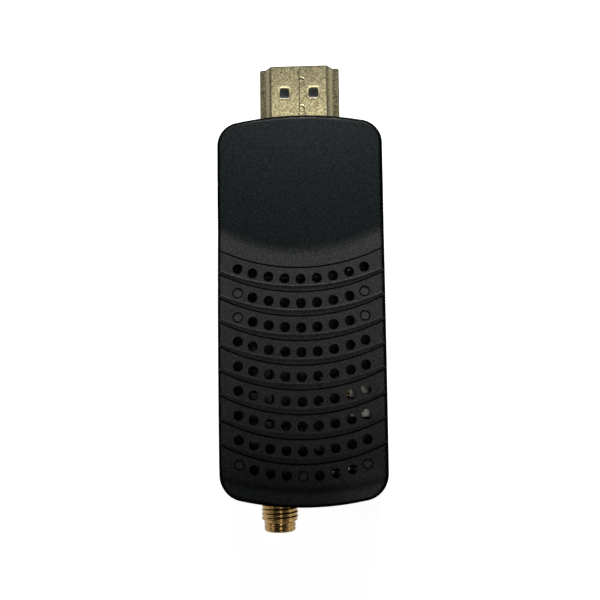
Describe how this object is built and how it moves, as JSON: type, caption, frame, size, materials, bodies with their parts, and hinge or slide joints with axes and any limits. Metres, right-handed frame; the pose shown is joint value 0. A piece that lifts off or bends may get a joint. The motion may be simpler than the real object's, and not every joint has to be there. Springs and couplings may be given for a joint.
{
  "type": "tv decoder dongle",
  "caption": "Flat black TV decoder stick with a crowned, vented lid, a video plug on the nose, a threaded antenna jack on the tail and sockets in both sides.",
  "frame": {"origin": "under the middle of the overall box, on the plane of the plain back", "axes": "+Y out of the video plug, +Z out of the vented lid, +X to the right when the lid is seen with the plug up"},
  "size_m": [0.0282, 0.0794, 0.012],
  "materials": {
    "case_plastic": "black fine spark-textured plastic, crowned, slightly cool in the gloss",
    "black_steel": "black oxide steel",
    "gold_plated_sheet": "folded sheet with a dull pale gold plating, fine speckle",
    "gold_plated_brass": "turned brass with bright gold plating",
    "gold_contact": "bright gold plating",
    "black_insulator": "moulded black thermoplastic",
    "white_insulator": "machined white dielectric",
    "nickel_sheet": "folded nickel-plated sheet",
    "tinned_lead": "tinned copper leads",
    "board_laminate": "green solder mask over glass laminate",
    "chip_resin": "moulded epoxy",
    "chip_laminate": "dark green laminate carrier",
    "crystal_can": "seam-welded metal lid",
    "ferrite": "pressed grey ferrite",
    "tantalum_resin": "moulded near-black epoxy",
    "ceramic": "fired tan ceramic",
    "resistor_body": "black glazed film",
    "led_lens": "cloudy clear resin"
  },
  "bodies": {
    "root": {"top_cover": "case_plastic", "bottom_cover": "case_plastic", "cover_screws": "black_steel", "video_plug_shell": "gold_plated_sheet", "video_plug_insulator": "black_insulator", "video_plug_upper_contacts": "gold_contact", "video_plug_lower_contacts": "gold_contact", "antenna_jack_body": "gold_plated_brass", "antenna_jack_insulator": "white_insulator", "antenna_jack_contact": "gold_contact", "power_socket_shell": "nickel_sheet", "power_socket_tongue": "black_insulator", "power_socket_contacts": "gold_contact", "host_socket_shell": "nickel_sheet", "host_socket_tongue": "black_insulator", "host_socket_contacts": "gold_contact", "receiver_jack_housing": "black_insulator", "receiver_jack_contacts": "tinned_lead", "circuit_board": "board_laminate", "decoder_chip": "chip_resin", "decoder_chip_carrier": "chip_laminate", "decoder_chip_balls": "tinned_lead", "memory_chip": "chip_resin", "flash_chip": "chip_resin", "flash_chip_leads": "tinned_lead", "tuner_chip": "chip_resin", "crystals": "crystal_can", "power_inductors": "ferrite", "bulk_capacitors": "tantalum_resin", "ceramic_capacitors": "ceramic", "resistors": "resistor_body", "small_part_ends": "tinned_lead", "voltage_regulators": "chip_resin", "voltage_regulator_leads": "tinned_lead", "status_led": "led_lens"}
  },
  "joints": []
}
